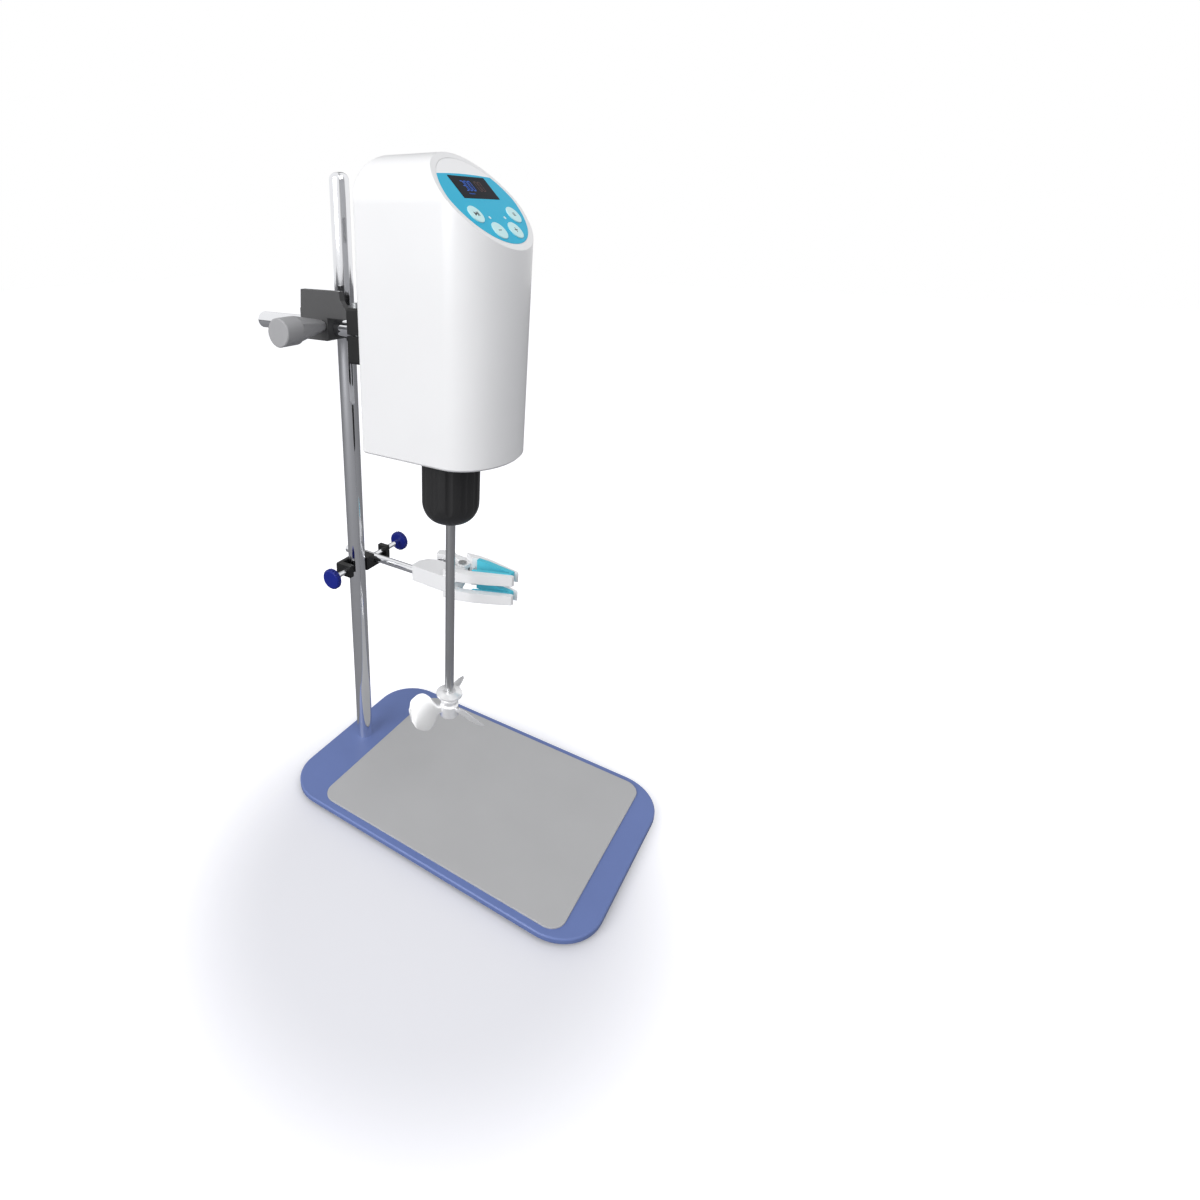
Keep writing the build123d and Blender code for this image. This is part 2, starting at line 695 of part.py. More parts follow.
# ---- Rear clamp's backing plate and its screws ---------------------------------------------------
inner_back = back_y - shell_wall
backing = block((head_x - fixing_across - 2 * backing_margin, head_x + fixing_across + 2 * backing_margin),
                (inner_back - backing_thickness, inner_back),
                (arm_height - fixing_above - 2 * backing_margin, arm_height + fixing_above + 2 * backing_margin))
fixing_screws = []
for x, z in fixing_at:
    backing -= bar((x, inner_back - 2 * backing_thickness, z), (x, inner_back, z), machine_screw_radius + hole_fit)
    place = facing((x, inner_back - backing_thickness, z), (0, -1, 0))
    fixing_screws.append(socket_screw(place, machine_screw_radius, backing_thickness + shell_wall + fixing_bite,
                                      machine_screw_head, machine_head_height, hex_key))
parts["backing_plate"] = backing

# ---- Gear frame: cast floor of the housing with posts, and the deck that carries the motor -------
deck_low = housing_low + frame_space
lower_seat = housing_low + bearing_lip
upper_seat = deck_low
deck_top = deck_low + bearing_width + bearing_lip
deck_floor = deck_top - deck_thickness
posts_at = [(head_x + side * across, y) for side in (-1, 1)
            for across, y in ((back_post_across, shaft_y + post_back), (front_post_across, shaft_y - post_front))]
frame = housing_form(shell_wall + frame_gap, housing_low, shell_wall) & block(
    (head_x - housing_width, head_x + housing_width), (front_y - over, back_y + over), (housing_low, frame_top))
frame += post(head_x, shaft_y, housing_low, lower_seat + bearing_width, bearing_outer + bearing_lip)
frame += [post(x, y, frame_top, deck_floor, post_radius) for x, y in posts_at]
frame -= post(head_x, shaft_y, lower_seat, lower_seat + 2 * bearing_width, bearing_outer + hole_fit)
frame -= post(head_x, shaft_y, housing_low - over, deck_low, bearing_inner + lip_clearance)
frame -= [post(x, y, deck_floor - deck_screw_bite - part_gap, deck_floor + over, machine_screw_radius + hole_fit)
          for x, y in posts_at]
frame -= [post(x, y, housing_low - over, frame_top + over, small_screw_radius + hole_fit) for x, y in shell_posts_at]
frame -= [post(x, y, housing_low - over, housing_low + small_head_height, small_screw_head + hole_fit)
          for x, y in shell_posts_at]
parts["gear_frame"] = frame
frame_screws = [
    socket_screw(facing((x, y, housing_low + small_head_height), (0, 0, -1)), small_screw_radius,
                 frame_seat - housing_low - small_head_height + shell_screw_bite, small_screw_head,
                 small_head_height) for x, y in shell_posts_at]

deck_outline = housing_form(shell_wall + deck_gap, deck_floor, shell_wall)
deck = deck_outline & block((head_x - housing_width, head_x + housing_width),
                            (front_y - over, shaft_y + post_back + post_radius), (deck_floor, deck_top))
deck += post(head_x, shaft_y, upper_seat, deck_floor + over, bearing_outer + bearing_lip)
deck -= post(head_x, shaft_y, upper_seat - over, upper_seat + bearing_width, bearing_outer + hole_fit)
deck -= post(head_x, shaft_y, deck_low, deck_top + over, bearing_inner + lip_clearance)
deck -= post(head_x, motor_y, deck_low - over, deck_top + over, motor_hub_radius + hole_fit)
deck -= [post(x, y, deck_floor - over, deck_top + over, machine_screw_radius + hole_fit) for x, y in posts_at]
motor_screws_at = [(head_x + sx * motor_screw_across, motor_y) for sx in (-1, 1)]
deck -= [post(x, y, deck_floor - over, deck_top + over, small_screw_radius + hole_fit) for x, y in motor_screws_at]
parts["gear_deck"] = deck
deck_screws = [
    socket_screw(facing((x, y, deck_top), (0, 0, 1)), machine_screw_radius, deck_thickness + deck_screw_bite,
                 machine_screw_head, machine_head_height, hex_key) for x, y in posts_at]

bearing = Cylinder(bearing_outer, bearing_width, align=FROM_BASE)
bearing -= Cylinder(bearing_inner + slide_fit, 3 * bearing_width)
groove = Cylinder(bearing_outer - bearing_race, bearing_shield_depth, align=FROM_BASE)
groove -= Cylinder(bearing_inner + bearing_race, bearing_shield_depth, align=FROM_BASE)
bearing -= groove + Pos(0, 0, bearing_width - bearing_shield_depth) * groove
parts["bearings"] = Part() + [Pos(head_x, shaft_y, z) * bearing for z in (lower_seat, upper_seat)]

# ---- Motor: can on the deck, rotor inside it, pinion below ---------------------------------------
can = post(head_x, motor_y, deck_top, deck_top + motor_length, motor_radius)
can = fillet(can.edges().group_by(Axis.Z)[-1], motor_edge)
can += post(head_x, motor_y, deck_floor, deck_top, motor_hub_radius)
can -= post(head_x, motor_y, deck_top + motor_wall, deck_top + motor_length - motor_wall, motor_radius - motor_wall)
can -= post(head_x, motor_y, deck_low, deck_top + motor_length + over, motor_shaft_radius + slide_fit)
can -= [post(x, y, deck_top - over, deck_top + 2 * motor_wall, small_screw_radius + hole_fit)
        for x, y in motor_screws_at]
parts["motor_can"] = can
motor_screws = [
    socket_screw(facing((x, y, deck_floor), (0, 0, -1)), small_screw_radius, deck_thickness + motor_wall,
                 small_screw_head, small_head_height) for x, y in motor_screws_at]
parts["small_screws"] = Part() + board_screws + frame_screws + motor_screws
parts["machine_screws"] = Part() + fixing_screws + deck_screws
gear_low = lower_seat + bearing_width + gear_hub_height
pinion_low = gear_low - pinion_overhang
rotor_low = deck_top + (motor_length - rotor_length) / 2
rotor = post(head_x, motor_y, rotor_low, rotor_low + rotor_length, rotor_radius)
rotor += post(head_x, motor_y, pinion_low, deck_top + motor_length - motor_wall / 2, motor_shaft_radius)
parts["motor_rotor"] = rotor
pinion = gear(pinion_teeth, gear_width + 2 * pinion_overhang, 90 + 180 / pinion_teeth, motor_shaft_radius + hole_fit)
parts["motor_pinion"] = Pos(head_x, motor_y, pinion_low) * pinion

# ---- Spindle with its gear, and the chuck on its nose --------------------------------------------
spindle_low = housing_low - spindle_nose
spindle_high = deck_top + spindle_top
chuck_top = housing_low - lip_clearance
spindle = post(head_x, shaft_y, spindle_low, spindle_high, bearing_inner)
spindle += post(head_x, shaft_y, gear_low + gear_width, upper_seat - hole_fit, spindle_collar)
ring_low = deck_top + hole_fit
ring_cut = post(head_x, shaft_y, ring_low, ring_low + ring_width, ring_radius + over)
ring_cut -= post(head_x, shaft_y, ring_low, ring_low + ring_width, bearing_inner - ring_groove)
spindle -= ring_cut
spindle -= post(head_x, shaft_y, spindle_low - over, spindle_high + over, spindle_bore + slide_fit)
parts["spindle"] = spindle
ring = post(head_x, shaft_y, ring_low, ring_low + ring_width, ring_radius)
ring -= post(head_x, shaft_y, ring_low - over, ring_low + 2 * over, bearing_inner - ring_groove + hole_fit)
ring -= block((head_x - ring_slot / 2, head_x + ring_slot / 2), (shaft_y, shaft_y + 2 * ring_radius),
              (ring_low - over, ring_low + 2 * over))
parts["retaining_ring"] = ring
output_gear = gear(gear_teeth, gear_width, -90, bearing_inner + hole_fit)
gear_hub = Pos(0, 0, -gear_hub_height + slide_fit) * Cylinder(gear_hub_radius, gear_hub_height, align=FROM_BASE)
output_gear += gear_hub - Cylinder(bearing_inner + hole_fit, 3 * gear_width)
rim_inside = gear_module * (gear_teeth / 2 - 1)
window = Pos((gear_hub_radius + rim_inside) / 2, 0, 0) * Cylinder(gear_window_radius, 3 * gear_width)
output_gear -= [Rot(0, 0, 360 / gear_window_count * (i + 0.5)) * window for i in range(gear_window_count)]
parts["output_gear"] = Pos(head_x, shaft_y, gear_low) * output_gear

chuck_low = chuck_top - chuck_length
chuck = turned([(0, 0), (chuck_nose_radius, 0), (chuck_radius, chuck_nose_length), (chuck_radius, chuck_length),
                (0, chuck_length)])
chuck -= Pos(0, 0, chuck_length - (chuck_top - spindle_low)) * Cylinder(bearing_inner + hole_fit, chuck_length,
                                                                       align=FROM_BASE)
chuck -= Cylinder(spindle_bore + 2 * jaw_grip_gap, 3 * chuck_length)
lean = radians(jaw_tilt)
jaw_axis = Vector(sin(lean), 0, cos(lean))


def jaw_bar(radius, low, high):
    """A bar along the first jaw's guide, between two distances from the jaw's foot."""
    foot = Vector(jaw_foot_radius, 0, 0)
    return bar(tuple(foot + jaw_axis * low), tuple(foot + jaw_axis * high), radius)


jaw = jaw_bar(jaw_radius, -chuck_nose_radius, jaw_length)
jaw &= block((spindle_bore + jaw_grip_gap, 3 * chuck_radius), (-chuck_radius, chuck_radius), (0, 2 * jaw_length))
guide = jaw_bar(jaw_radius + slide_fit, -chuck_radius, 2 * chuck_length)
turns = [360 / jaw_count * i + 90 for i in range(jaw_count)]
chuck -= [Rot(0, 0, turn) * Pos(0, 0, jaw_foot_lift) * guide for turn in turns]
chuck_place = Pos(head_x, shaft_y, chuck_low)
parts["chuck_body"] = chuck_place * chuck
for i, turn in enumerate(turns):
    parts[f"chuck_jaw_{i + 1}"] = chuck_place * Rot(0, 0, turn) * Pos(0, 0, jaw_foot_lift) * jaw

sleeve_top = chuck_length + lip_clearance - part_gap
sleeve_foot = sleeve_top - sleeve_straight - sleeve_nose
nose_gap = slide_fit / cos(atan2(chuck_radius - chuck_nose_radius, chuck_nose_length)) + slide_fit
side_line = Line((sleeve_radius, sleeve_top - sleeve_straight), (sleeve_radius, sleeve_top))
nose_curve = EllipticalCenterArc((sleeve_mouth, sleeve_top - sleeve_straight), sleeve_radius - sleeve_mouth,
                                 sleeve_nose, 270, arc_size=90)
inside = Polyline((sleeve_radius, sleeve_top), (chuck_radius + slide_fit, sleeve_top),
                  (chuck_radius + slide_fit, sleeve_cavity_high), (sleeve_cavity, sleeve_cavity_high),
                  (sleeve_cavity, sleeve_cavity_low), (chuck_radius + nose_gap, sleeve_cavity_low),
                  (chuck_radius + nose_gap, chuck_nose_length), (chuck_nose_radius + nose_gap, 0),
                  (sleeve_mouth, -part_gap), (sleeve_mouth, sleeve_foot))
sleeve = revolve(Plane.XZ * make_face(nose_curve + side_line + inside), Axis.Z)
sleeve = chamfer(sleeve.edges().group_by(Axis.Z)[-1].sort_by(SortBy.LENGTH)[-1], sleeve_top_edge)
flute = Cylinder(sleeve_flute_radius, sleeve_straight + sleeve_nose, align=FROM_BASE)
flute = Pos(sleeve_radius + sleeve_flute_radius - sleeve_flute_depth, 0, sleeve_foot - sleeve_flute_stop) * flute
sleeve -= [Rot(0, 0, 360 / sleeve_flutes * i) * flute for i in range(sleeve_flutes)]
parts["chuck_sleeve"] = chuck_place * sleeve

# ---- Stirring shaft and propeller ----------------------------------------------------------------
shaft = post(head_x, shaft_y, impeller_height, impeller_height + stirring_length, stirring_radius)
parts["stirring_shaft"] = chamfer(shaft.edges().filter_by(GeomType.CIRCLE), stirring_end_round)
ring_foot = hub_barrel + 2 * hub_step + hub_neck
hub = turned([(0, 0), (hub_radius - hub_edge, 0), (hub_radius, hub_edge), (hub_radius, hub_barrel),
              (hub_waist, hub_barrel + hub_step), (hub_waist, ring_foot - hub_step), (hub_radius, ring_foot),
              (hub_radius, ring_foot + hub_ring), (hub_waist, ring_foot + hub_ring + hub_step),
              (hub_flare, hub_length - hub_flare_height), (hub_flare, hub_length - hub_flare_height / 2),
              (hub_waist - hub_edge, hub_length), (0, hub_length)])
blade_span = blade_tip - hub_waist


def blade_section(radius, width, thickness):
    """One section of a blade, square to the line from the hub to the tip."""
    share = (radius - hub_waist) / blade_span
    pitch = blade_pitch_root + (blade_pitch_tip - blade_pitch_root) * share
    place = Plane(origin=(radius, 0, blade_height), x_dir=(0, cos(radians(pitch)), -sin(radians(pitch))),
                  z_dir=(1, 0, 0))
    return place * Ellipse(width / 2, thickness / 2)


blade = loft([blade_section(hub_waist - hub_edge, blade_neck_width, 2 * blade_thickness)] +
             [blade_section(hub_waist + share * blade_span, wide * blade_width, thick * blade_thickness)
              for share, wide, thick in blade_plan])
impeller = hub + [Rot(0, 0, first_blade + 360 / blade_count * i) * blade for i in range(blade_count)]
impeller -= Cylinder(stirring_radius + hole_fit, 3 * hub_length)
impeller -= bar((0, 0, grub_height), (0, 2 * hub_flare, grub_height), grub_radius + hole_fit)
impeller_place = Pos(head_x, shaft_y, impeller_height)
parts["impeller"] = impeller_place * impeller
grub = bar((0, stirring_radius + hole_fit, grub_height), (0, hub_waist, grub_height), grub_radius)
parts["impeller_screw"] = impeller_place * grub

# ---- Power inlet and rocker switch in the back wall ----------------------------------------------
inlet = rear_box(inlet_at, inlet_width, inlet_height, 0, inlet_depth)
inlet += rear_box(inlet_at, inlet_width + 2 * inlet_bezel_rim, inlet_height + 2 * inlet_bezel_rim, -inlet_bezel, 0)
socket = rear_box(inlet_at, inlet_width - 2 * inlet_wall, inlet_height - 2 * inlet_wall,
                  -inlet_bezel - over, inlet_socket_depth)
socket = chamfer(socket.edges().filter_by(Axis.Y).group_by(Axis.Z)[0], inlet_chamfer)
inlet -= socket
parts["power_inlet"] = inlet
parts["inlet_pins"] = Part() + [
    rear_box((inlet_at[0] + side * inlet_pin_pitch, inlet_at[1] + inlet_pin_rise), inlet_pin_height, inlet_pin_width,
             inlet_socket_depth - inlet_pin_length, inlet_socket_depth) for side in (-1, 0, 1)]

switch = rear_box(switch_at, switch_width, switch_tall, 0, switch_depth)
switch += rear_box(switch_at, switch_width + 2 * rocker_wall, switch_tall + 2 * rocker_wall, -inlet_bezel, 0)
switch -= rear_box(switch_at, switch_width - 2 * rocker_wall, switch_tall - 2 * rocker_wall,
                   -inlet_bezel - over, switch_depth - 2 * rocker_wall)
rocker_y = back_y - rocker_thickness / 2
rocker_pin = bar((switch_at[0] - switch_width / 2, rocker_y, switch_at[1]),
                 (switch_at[0] + switch_width / 2, rocker_y, switch_at[1]), rocker_pin_radius)
parts["switch_frame"] = switch + rocker_pin
half_thick = rocker_thickness / 2
rocker_profile = [(-rocker_foot, -half_thick), (rocker_foot, -half_thick), (rocker_crest, half_thick),
                  (0, half_thick - rocker_dip), (-rocker_crest, half_thick)]
rocker_half_width = switch_width / 2 - rocker_wall - tip_gap
rocker_face = make_face(Polyline(*rocker_profile, close=True))
rocker = Plane((-rocker_half_width, 0, 0), (0, 0, 1), (1, 0, 0)) * extrude(rocker_face, 2 * rocker_half_width)
rocker -= bar((-switch_width, 0, 0), (switch_width, 0, 0), rocker_pin_radius + slide_fit)
parts["switch_rocker"] = Pos(switch_at[0], rocker_y, switch_at[1]) * Rot(180 + rocker_tilt, 0, 0) * rocker

# ---- Beaker clamp: cross clamp on the support rod, arm, and a four-finger clamp head -------------
web_x = (support_rod_radius + slide_fit, support_rod_radius + slide_fit + clamp_web)
clamp_x = web_x[1] + slide_fit + clamp_arm_radius
cross_z = (clamp_height - cross_half, clamp_height + cross_half)
hook_back = rod_y + support_rod_radius + slide_fit
cross_y = (rod_y - cross_half, hook_back + cross_wall)
rod_hook_x = -support_rod_radius - rod_hook_room - hook_wall
arm_hook_x = clamp_x + clamp_arm_radius + arm_hook_room + hook_wall
cross = block(web_x, cross_y, cross_z)
cross += block((rod_hook_x, web_x[1]), (hook_back, hook_back + cross_wall), cross_z)
cross += block((rod_hook_x, rod_hook_x + hook_wall), (rod_y - hook_drop, hook_back + cross_wall), cross_z)
hook_floor = clamp_height - clamp_arm_radius - slide_fit
cross += block((web_x[0], arm_hook_x), (rod_y - hook_drop, rod_y + hook_drop), (hook_floor - cross_wall, hook_floor))
cross += block((arm_hook_x - hook_wall, arm_hook_x), (rod_y - hook_drop, rod_y + hook_drop),
               (hook_floor - cross_wall, clamp_height + hook_drop))
cross &= bar((rod_hook_x - over, rod_y, clamp_height), (arm_hook_x + over, rod_y, clamp_height),
             cross_round * cross_half)
screw_hole = cross_screw_radius + slide_fit
cross -= bar((rod_hook_x - over, rod_y, clamp_height), (-support_rod_radius, rod_y, clamp_height), screw_hole)
cross -= bar((clamp_x, rod_y, clamp_height), (arm_hook_x + over, rod_y, clamp_height), screw_hole)
parts["clamp_boss"] = cross


def disc_knob(hook_x, tip_x, spare):
    """A fluted disc and its screw, on the X axis of the cross clamp's screws."""
    away = -1 if hook_x < tip_x else 1
    seat_x = hook_x + away * spare
    grip = fluted(disc_radius, disc_width, disc_edge, disc_flutes, disc_flute_radius)
    grip -= Cylinder(cross_screw_radius + hole_fit, disc_width)
    disc = facing((seat_x, rod_y, clamp_height), (away, 0, 0)) * grip
    screw = bar((tip_x + away * tip_gap, rod_y, clamp_height), (seat_x + away * disc_width / 2, rod_y, clamp_height),
                cross_screw_radius)
    return disc, screw


parts["clamp_rod_knob"], parts["clamp_rod_screw"] = disc_knob(rod_hook_x, -support_rod_radius, rod_screw_spare)
parts["clamp_arm_knob"], parts["clamp_arm_screw"] = disc_knob(arm_hook_x, clamp_x + clamp_arm_radius,
                                                             arm_screw_spare)

arm_back = rod_y + clamp_arm_back
arm_front = arm_back - clamp_arm_length
clamp_arm = bar((clamp_x, arm_front, clamp_height), (clamp_x, arm_back, clamp_height), clamp_arm_radius)
parts["clamp_arm"] = chamfer(clamp_arm.edges().filter_by(GeomType.CIRCLE), stirring_end_round)

# The clamp head is drawn in its own plan: across from the arm's axis, and ahead of the socket's mouth.
mouth_y = arm_front + socket_overlap
grip_z = (clamp_height - grip_half, clamp_height + grip_half)
body_z = (clamp_height - body_half, clamp_height + body_half)


def plan(points):
    """Points of the clamp head's plan as (x, y)."""
    return [(clamp_x + across, mouth_y - ahead) for across, ahead in points]


def forked(solid):
    """A jaw with the gap between its two fingers cut from a rounded root forwards."""
    root_y = mouth_y - fork_root
    sides = (clamp_x - head_across, clamp_x + head_across)
    gap = block(sides, (root_y - head_across, root_y), (clamp_height - grip_slot, clamp_height + grip_slot))
    gap += bar((sides[0], root_y, clamp_height), (sides[1], root_y, clamp_height), grip_slot)
    return solid - gap


pivot_at = plan([(25.0, 36.0)])[0]
near_jaw = [(-6.0, 34.0), (-5.5, 46.0), (-1.0, 60.0), (6.0, 76.0), (16.0, 95.0), (19.0, 95.5), (20.0, 93.0),
            (12.0, 73.0), (6.0, 58.0), (2.5, 46.0), (2.5, 34.0)]
near_pad = [(6.2, 58.0), (12.2, 73.0), (19.2, 91.0)]
far_jaw = [(36.0, 34.0), (37.5, 48.0), (36.0, 62.0), (32.5, 78.0), (28.5, 94.0), (27.0, 95.5), (26.2, 93.0),
           (28.7, 76.0), (31.2, 62.0), (31.7, 50.0), (29.0, 44.0)]
far_pad = [(31.6, 51.0), (31.2, 62.0), (28.7, 76.0), (26.3, 91.5)]
near_palm = [(-6.0, -2.0), (6.0, -2.0), (14.0, 3.0), (18.0, 12.0), (18.0, 44.0), (8.0, 47.0), (-6.0, 46.0),
             (-7.5, 30.0)]
near_ear = [(14.0, 29.0), (25.0, 30.5), (25.0, 41.5), (14.0, 44.0)]
far_tail = [(29.0, 3.0), (36.0, 1.0), (39.5, 4.0), (37.5, 34.0), (34.0, 44.0), (29.0, 42.0), (31.0, 20.0)]
far_ear = [(25.0, 30.5), (36.0, 30.0), (36.0, 44.0), (25.0, 41.5)]


def pad_strip(points, thickness):
    """A strip on a jaw's gripping face, from its glue line out to its thickness, which may be negative."""
    glue = hole_fit if thickness > 0 else -hole_fit
    near = [(across + glue, ahead) for across, ahead in points]
    far = [(across + thickness, ahead) for across, ahead in points]
    return prism(plan(near + far[::-1]), grip_z[0] - pad_proud, grip_z[1] + pad_proud)


body = fillet(prism(plan(near_palm), *body_z).edges().filter_by(Axis.Z), palm_round)
body += forked(prism(plan(near_jaw), *grip_z))
body += bar((clamp_x, arm_front - socket_length, clamp_height), (clamp_x, mouth_y, clamp_height), socket_radius)
ear_z = (clamp_height - lug_thickness, clamp_height + lug_thickness)
body += prism(plan(near_ear), *ear_z) + post(*pivot_at, *ear_z, jaw_swing_radius)
body -= bar((clamp_x, arm_front, clamp_height), (clamp_x, arm_back, clamp_height), clamp_arm_radius + hole_fit)
body -= post(*pivot_at, *body_z, jaw_pin_radius + slide_fit)
spread_y = mouth_y - spread_ahead
spread_seat = clamp_x + spread_socket
body -= bar((spread_seat, spread_y, clamp_height), (clamp_x + spread_reach, spread_y, clamp_height),
            spread_screw_radius + slide_fit)
parts["clamp_body"] = body

lever = prism(plan(far_tail), *body_z)
lever += forked(prism(plan(far_jaw), *grip_z))
lever += prism(plan(far_ear), *body_z)
lever += post(*pivot_at, *body_z, jaw_swing_radius)
lever -= post(*pivot_at, ear_z[0] - part_gap / 2, ear_z[1] + part_gap / 2, jaw_swing_radius + lug_clear)
lever -= post(*pivot_at, *body_z, jaw_pin_radius + hole_fit)
slot = SlotOverall(spread_slot, 2 * (spread_screw_radius + part_gap))
lever -= Plane((pivot_at[0], spread_y, clamp_height), (0, 1, 0), (1, 0, 0)) * extrude(slot, spread_reach)
parts["clamp_jaw"] = lever

parts["near_jaw_pads"] = forked(pad_strip(near_pad, near_pad_thickness))
parts["far_jaw_pads"] = forked(pad_strip(far_pad, -far_pad_thickness))
pin = post(*pivot_at, *body_z, jaw_pin_radius)
pin += post(*pivot_at, body_z[1], body_z[1] + jaw_pin_head_height, jaw_pin_head)
pin += post(*pivot_at, body_z[0] - jaw_pin_head_height, body_z[0], jaw_pin_head)
parts["jaw_pin"] = pin
knob_x = clamp_x + spread_reach
spread_knob = fluted(spread_knob_radius, spread_knob_width, disc_edge / 2, disc_flutes // 2, disc_flute_radius)
spread_shank = bar((spread_seat + tip_gap, spread_y, clamp_height),
                   (knob_x + spread_knob_width / 2, spread_y, clamp_height), spread_screw_radius)
parts["spread_screw"] = facing((knob_x, spread_y, clamp_height), (1, 0, 0)) * spread_knob + spread_shank

# ---- Write one file for each piece ---------------------------------------------------------------
os.makedirs("parts", exist_ok=True)
for name, solid in parts.items():
    export_step(solid, f"parts/{name}.step")
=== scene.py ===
from math import cos, radians, sin

import bmesh
import bpy
from mathutils import Matrix, Vector


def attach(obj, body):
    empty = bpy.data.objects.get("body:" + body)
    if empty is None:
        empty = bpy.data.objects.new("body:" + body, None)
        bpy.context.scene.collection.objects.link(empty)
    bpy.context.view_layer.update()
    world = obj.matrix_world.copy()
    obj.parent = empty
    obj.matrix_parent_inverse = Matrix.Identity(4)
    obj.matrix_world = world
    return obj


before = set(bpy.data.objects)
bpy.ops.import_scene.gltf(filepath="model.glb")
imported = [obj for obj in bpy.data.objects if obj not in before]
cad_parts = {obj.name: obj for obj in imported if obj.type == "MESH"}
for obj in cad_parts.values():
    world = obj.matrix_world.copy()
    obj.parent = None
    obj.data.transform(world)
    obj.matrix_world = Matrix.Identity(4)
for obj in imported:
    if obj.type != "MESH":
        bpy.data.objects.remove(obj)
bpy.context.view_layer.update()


# ---- Studio ----------------------------------------------------------------------------------
# A large soft lamp on the left, a weaker one high in front, and an even white room with shaded
# walls that polished rods show as dark bands.  The floor carries a painted shade: it is greyer
# beside the plate and clears to white further off.  Reflections and bounced light see it as a
# darker grey paper.
def linear(red, green, blue):
    """A colour given as 0-255, in the values that shaders take."""
    return tuple(((c / 255 + 0.055) / 1.055) ** 2.4 for c in (red, green, blue)) + (1.0,)


scene = bpy.context.scene
scene.view_settings.view_transform = "Standard"

world = bpy.data.worlds.new("studio_room")
scene.world = world
world.use_nodes = True
room = world.node_tree
room.nodes.clear()
rays = room.nodes.new("ShaderNodeLightPath")
towards = room.nodes.new("ShaderNodeTexCoord")
around = room.nodes.new("ShaderNodeTexGradient")
around.gradient_type = "RADIAL"
walls = room.nodes.new("ShaderNodeValToRGB")
stops = [(0.0, 1.0), (0.10, 1.0), (0.15, 0.16), (0.26, 0.2), (0.32, 1.0), (0.55, 1.0),
         (0.585, 0.35), (0.61, 0.35), (0.65, 1.0)]
while len(walls.color_ramp.elements) < len(stops):
    walls.color_ramp.elements.new(0.5)
for element, (place, tone) in zip(walls.color_ramp.elements, stops):
    element.position = place
    element.color = (tone, tone, tone, 1)
seen = room.nodes.new("ShaderNodeMix")
seen.data_type = "RGBA"
seen.inputs["B"].default_value = (1, 1, 1, 1)
backdrop = room.nodes.new("ShaderNodeBackground")
fill = room.nodes.new("ShaderNodeBackground")
fill.inputs["Color"].default_value = (0.97, 0.98, 1, 1)
fill.inputs["Strength"].default_value = 0.5
shows = room.nodes.new("ShaderNodeMath")
shows_all = room.nodes.new("ShaderNodeMath")
choose = room.nodes.new("ShaderNodeMixShader")
output = room.nodes.new("ShaderNodeOutputWorld")
room.links.new(towards.outputs["Generated"], around.inputs["Vector"])
room.links.new(around.outputs["Fac"], walls.inputs["Fac"])
room.links.new(walls.outputs["Color"], seen.inputs["A"])
room.links.new(rays.outputs["Is Camera Ray"], seen.inputs["Factor"])
room.links.new(seen.outputs["Result"], backdrop.inputs["Color"])
shows.operation = shows_all.operation = "MAXIMUM"
room.links.new(rays.outputs["Is Camera Ray"], shows.inputs[0])
room.links.new(rays.outputs["Is Glossy Ray"], shows.inputs[1])
room.links.new(shows.outputs[0], shows_all.inputs[0])
room.links.new(rays.outputs["Is Transmission Ray"], shows_all.inputs[1])
room.links.new(shows_all.outputs[0], choose.inputs["Fac"])
room.links.new(fill.outputs[0], choose.inputs[1])
room.links.new(backdrop.outputs[0], choose.inputs[2])
room.links.new(choose.outputs[0], output.inputs["Surface"])

bpy.ops.object.select_all(action="DESELECT")
bpy.ops.mesh.primitive_plane_add(size=12, location=(0, 0, -0.0002))
floor = bpy.context.object
floor.name = "floor"
floor_paper = bpy.data.materials.new("floor_paper")
floor_paper.use_nodes = True
paper = floor_paper.node_tree
paper.nodes["Principled BSDF"].inputs["Roughness"].default_value = 0.9
paper.nodes["Principled BSDF"].inputs["Specular IOR Level"].default_value = 0.1
lift_for = paper.nodes.new("ShaderNodeLightPath")
paper_tone = paper.nodes.new("ShaderNodeMix")
paper_tone.data_type = "RGBA"
paper_tone.inputs["A"].default_value = (0.3, 0.3, 0.31, 1)
paper_tone.inputs["B"].default_value = linear(238, 238, 243)
# The camera's white lift fades out near a point beside the plate's left side, which leaves a painted shade on
# the paper there; the real shadow also shows inside it.
spot = paper.nodes.new("ShaderNodeTexCoord")
painted_shade_distance = paper.nodes.new("ShaderNodeVectorMath")
painted_shade_distance.operation = "DISTANCE"
painted_shade_distance.inputs[1].default_value = (-0.11, -0.02, 0)
painted_shade_fade = paper.nodes.new("ShaderNodeMapRange")
painted_shade_fade.interpolation_type = "SMOOTHSTEP"
painted_shade_fade.inputs["From Min"].default_value = 0.12
painted_shade_fade.inputs["From Max"].default_value = 0.32
painted_shade_fade.inputs["To Min"].default_value = 0.0
painted_shade_fade.inputs["To Max"].default_value = 0.6
lift_by = paper.nodes.new("ShaderNodeMath")
lift_by.operation = "MULTIPLY"
lift = paper.nodes.new("ShaderNodeEmission")
lift.inputs["Color"].default_value = (1, 1, 1, 1)
both = paper.nodes.new("ShaderNodeAddShader")
paper.links.new(spot.outputs["Object"], painted_shade_distance.inputs[0])
paper.links.new(painted_shade_distance.outputs["Value"], painted_shade_fade.inputs["Value"])
paper.links.new(lift_for.outputs["Is Camera Ray"], paper_tone.inputs["Factor"])
paper.links.new(paper_tone.outputs["Result"], paper.nodes["Principled BSDF"].inputs["Base Color"])
paper.links.new(lift_for.outputs["Is Camera Ray"], lift_by.inputs[0])
paper.links.new(painted_shade_fade.outputs["Result"], lift_by.inputs[1])
paper.links.new(lift_by.outputs[0], lift.inputs["Strength"])
